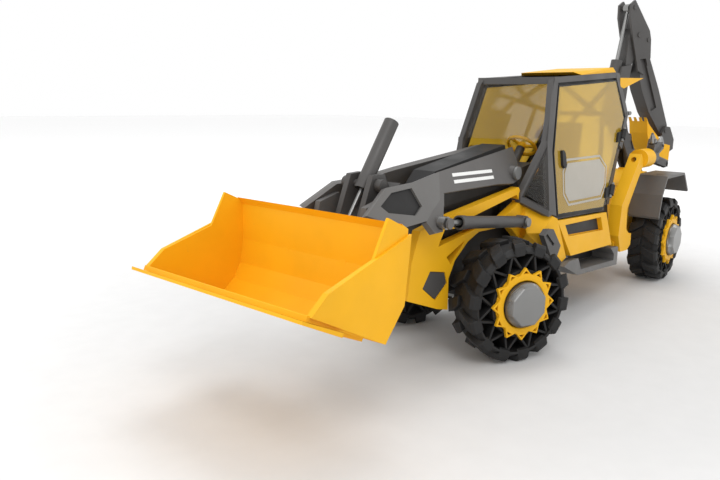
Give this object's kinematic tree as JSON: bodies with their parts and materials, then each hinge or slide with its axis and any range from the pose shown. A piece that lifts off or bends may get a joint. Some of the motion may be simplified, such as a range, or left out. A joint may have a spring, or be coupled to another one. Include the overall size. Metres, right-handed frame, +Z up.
{
  "type": "toy backhoe loader",
  "caption": "Toy backhoe loader with airless tyres, steering front wheels, a lifting loader bucket, opening cab doors, stabilisers and a swinging digging arm.",
  "frame": {"origin": "on the ground at the middle of the bounding box's length and width", "axes": "+X forward towards the loader bucket, +Y to the vehicle's left, +Z up"},
  "size_m": [0.5856, 0.1488, 0.266],
  "materials": {
    "tyre": "matt moulded",
    "yellow_paint": "semi-gloss moulded",
    "bucket_yellow": "painted sheet",
    "charcoal": "matt moulded",
    "mid_grey": "satin moulded",
    "seat_black": "fine grain",
    "bright_steel": "brushed",
    "amber_glass": "tinted clear plastic",
    "clear_glass": "clear plastic"
  },
  "bodies": {
    "root": {"chassis_left": "yellow_paint", "chassis_right": "yellow_paint", "chassis_core": "charcoal", "chassis_guards": "charcoal", "rear_frame": "yellow_paint", "hood": "charcoal", "front_axle_beam": "charcoal", "rear_axle": "bright_steel", "pivot_pins": "bright_steel", "cab_frame": "charcoal", "roof_cap": "yellow_paint", "cab_glass": "clear_glass", "side_panels": "yellow_paint", "side_steps": "mid_grey", "seat": "seat_black", "dashboard": "charcoal", "rear_fenders": "charcoal"},
    "wheel_fl": {"tyre_fl": "tyre", "star_rim_fl": "yellow_paint", "hub_cap_fl": "bright_steel"},
    "wheel_fr": {"tyre_fr": "tyre", "star_rim_fr": "yellow_paint", "hub_cap_fr": "bright_steel"},
    "wheel_rl": {"tyre_rl": "tyre", "star_rim_rl": "yellow_paint", "hub_cap_rl": "bright_steel"},
    "wheel_rr": {"tyre_rr": "tyre", "star_rim_rr": "yellow_paint", "hub_cap_rr": "bright_steel"},
    "knuckle_left": {"knuckle_left": "charcoal"},
    "knuckle_right": {"knuckle_right": "charcoal"},
    "tie_rod": {"tie_rod": "bright_steel"},
    "steering_wheel": {"steering_wheel": "yellow_paint"},
    "loader_arms": {"arm_left": "charcoal", "arm_right": "charcoal", "arm_plates": "mid_grey", "loader_yoke": "charcoal"},
    "bucket": {"loader_bucket": "bucket_yellow", "cutting_edge": "bucket_yellow"},
    "tilt_barrel": {"tilt_barrel": "charcoal"},
    "tilt_rod": {"tilt_rod": "bright_steel"},
    "lift_barrels": {"lift_barrels": "charcoal"},
    "lift_rods": {"lift_rods": "bright_steel"},
    "door_left": {"door_glass_left": "amber_glass", "door_fittings_left": "charcoal"},
    "door_right": {"door_glass_right": "amber_glass", "door_fittings_right": "charcoal"},
    "stabiliser_left": {"stabiliser_left": "yellow_paint"},
    "claw_left": {"claw_left": "charcoal"},
    "stabiliser_right": {"stabiliser_right": "yellow_paint"},
    "claw_right": {"claw_right": "charcoal"},
    "swing_post": {"swing_post": "yellow_paint"},
    "boom": {"boom": "charcoal"},
    "stick": {"stick": "charcoal"},
    "hoe_bucket": {"hoe_bucket": "yellow_paint", "bucket_coupler": "charcoal"},
    "boom_barrel": {"boom_barrel": "charcoal"},
    "boom_rod": {"boom_rod": "bright_steel"},
    "crowd_barrel": {"crowd_barrel": "charcoal"},
    "crowd_rod": {"crowd_rod": "bright_steel"}
  },
  "joints": [
    {"name": "steer_left", "type": "hinge", "parent": "root", "child": "knuckle_left", "pos_m": [0.0803, 0.03, 0.04], "axis": [0, 0, 1], "range_deg": [-2, 50.6]},
    {"name": "steer_right", "type": "hinge", "parent": "root", "child": "knuckle_right", "pos_m": [0.0803, -0.03, 0.04], "axis": [0, 0, 1], "range_deg": [-2, 50.6]},
    {"name": "tie_rod_slide", "type": "slide", "parent": "root", "child": "tie_rod", "axis": [0, 1, 0], "range_m": [-0.0125, 0.001]},
    {"name": "steering_wheel_turn", "type": "hinge", "parent": "root", "child": "steering_wheel", "pos_m": [0.0068, 0, 0.118], "axis": [-0.6428, 0, 0.766], "range_deg": [-10, 210]},
    {"name": "wheel_fl_spin", "type": "hinge", "parent": "knuckle_left", "child": "wheel_fl", "pos_m": [0.08783, 0.04668, 0.04], "axis": [0.4115, 0.9114, 0], "continuous": true},
    {"name": "wheel_fr_spin", "type": "hinge", "parent": "knuckle_right", "child": "wheel_fr", "pos_m": [0.07277, -0.04668, 0.04], "axis": [0.4115, 0.9114, 0], "continuous": true},
    {"name": "wheel_rl_spin", "type": "hinge", "parent": "root", "child": "wheel_rl", "pos_m": [-0.1982, 0.049, 0.04], "axis": [0, 1, 0], "continuous": true},
    {"name": "wheel_rr_spin", "type": "hinge", "parent": "root", "child": "wheel_rr", "pos_m": [-0.1982, -0.049, 0.04], "axis": [0, 1, 0], "continuous": true},
    {"name": "loader_lift", "type": "hinge", "parent": "root", "child": "loader_arms", "pos_m": [0.0448, 0.0214, 0.1175], "axis": [0, -1, 0], "range_deg": [-8, 30]},
    {"name": "lift_barrel_swing", "type": "hinge", "parent": "root", "child": "lift_barrels", "pos_m": [0.0498, 0.0325, 0.0845], "axis": [0, -1, 0], "range_deg": [-8, 29]},
    {"name": "lift_rod_swing", "type": "hinge", "parent": "loader_arms", "child": "lift_rods", "pos_m": [0.1472, 0.0325, 0.096], "axis": [0, -1, 0], "range_deg": [-3, 2]},
    {"name": "bucket_tilt", "type": "hinge", "parent": "loader_arms", "child": "bucket", "pos_m": [0.2078, 0, 0.066], "axis": [0, 1, 0], "range_deg": [0, 60]},
    {"name": "tilt_barrel_swing", "type": "hinge", "parent": "loader_arms", "child": "tilt_barrel", "pos_m": [0.1818, 0, 0.119], "axis": [0, 1, 0], "range_deg": [-17, 1]},
    {"name": "tilt_rod_swing", "type": "hinge", "parent": "bucket", "child": "tilt_rod", "pos_m": [0.2035, 0, 0.0878], "axis": [0, 1, 0], "range_deg": [-77, 1]},
    {"name": "door_left_hinge", "type": "hinge", "parent": "root", "child": "door_left", "pos_m": [-0.0826, 0.04502, 0.0961], "axis": [-0.5833, -0.1095, 0.8048], "range_deg": [0, 60]},
    {"name": "door_right_hinge", "type": "hinge", "parent": "root", "child": "door_right", "pos_m": [-0.0826, -0.04502, 0.0961], "axis": [0.5833, -0.1095, -0.8048], "range_deg": [0, 60]},
    {"name": "stabiliser_left_fold", "type": "hinge", "parent": "root", "child": "stabiliser_left", "pos_m": [-0.1142, 0.043, 0.048], "axis": [-1, 0, 0], "range_deg": [0, 110]},
    {"name": "stabiliser_right_fold", "type": "hinge", "parent": "root", "child": "stabiliser_right", "pos_m": [-0.1142, -0.043, 0.048], "axis": [1, 0, 0], "range_deg": [0, 110]},
    {"name": "claw_left_tilt", "type": "hinge", "parent": "stabiliser_left", "child": "claw_left", "pos_m": [-0.1582, 0.0452, 0.119], "axis": [-1, 0, 0], "range_deg": [-20, 40]},
    {"name": "claw_right_tilt", "type": "hinge", "parent": "stabiliser_right", "child": "claw_right", "pos_m": [-0.1582, -0.0452, 0.119], "axis": [1, 0, 0], "range_deg": [-20, 40]},
    {"name": "hoe_swing", "type": "hinge", "parent": "root", "child": "swing_post", "pos_m": [-0.2282, 0, 0.076], "axis": [0, 0, 1], "range_deg": [-25, 65]},
    {"name": "boom_lift", "type": "hinge", "parent": "swing_post", "child": "boom", "pos_m": [-0.25451, 0.00958, 0.08], "axis": [0.342, 0.9397, 0], "range_deg": [-50, 0]},
    {"name": "boom_barrel_swing", "type": "hinge", "parent": "swing_post", "child": "boom_barrel", "pos_m": [-0.24324, 0.00547, 0.092], "axis": [0.342, 0.9397, 0], "range_deg": [-58, 1]},
    {"name": "boom_rod_swing", "type": "hinge", "parent": "boom", "child": "boom_rod", "pos_m": [-0.22444, -0.00137, 0.158], "axis": [0.342, 0.9397, 0], "range_deg": [-8, 1]},
    {"name": "stick_fold", "type": "hinge", "parent": "boom", "child": "stick", "pos_m": [-0.22632, -0.00068, 0.234], "axis": [0.342, 0.9397, 0], "range_deg": [0, 70]},
    {"name": "crowd_barrel_swing", "type": "hinge", "parent": "boom", "child": "crowd_barrel", "pos_m": [-0.19813, -0.01094, 0.15], "axis": [0.342, 0.9397, 0], "range_deg": [-1, 11]},
    {"name": "crowd_rod_swing", "type": "hinge", "parent": "stick", "child": "crowd_rod", "pos_m": [-0.21692, -0.0041, 0.259], "axis": [0.342, 0.9397, 0], "range_deg": [-62, 1]},
    {"name": "hoe_bucket_curl", "type": "hinge", "parent": "stick", "child": "hoe_bucket", "pos_m": [-0.27518, 0.0171, 0.14], "axis": [0.342, 0.9397, 0], "range_deg": [0, 120]}
  ],
  "couplings": [
    {"joint": "steer_right", "follows": "steer_left", "ratio": 1},
    {"joint": "tie_rod_slide", "follows": "steer_left", "m_per_rad": -0.01365},
    {"joint": "steering_wheel_turn", "follows": "steer_left", "ratio": 4},
    {"joint": "lift_barrel_swing", "follows": "loader_lift", "ratio": 0.953},
    {"joint": "lift_rod_swing", "follows": "loader_lift", "ratio": -0.047},
    {"joint": "tilt_barrel_swing", "follows": "bucket_tilt", "ratio": -0.265},
    {"joint": "tilt_rod_swing", "follows": "bucket_tilt", "ratio": -1.265},
    {"joint": "boom_barrel_swing", "follows": "boom_lift", "ratio": 1.138},
    {"joint": "boom_rod_swing", "follows": "boom_lift", "ratio": 0.138},
    {"joint": "crowd_barrel_swing", "follows": "stick_fold", "ratio": 0.139},
    {"joint": "crowd_rod_swing", "follows": "stick_fold", "ratio": -0.861}
  ]
}
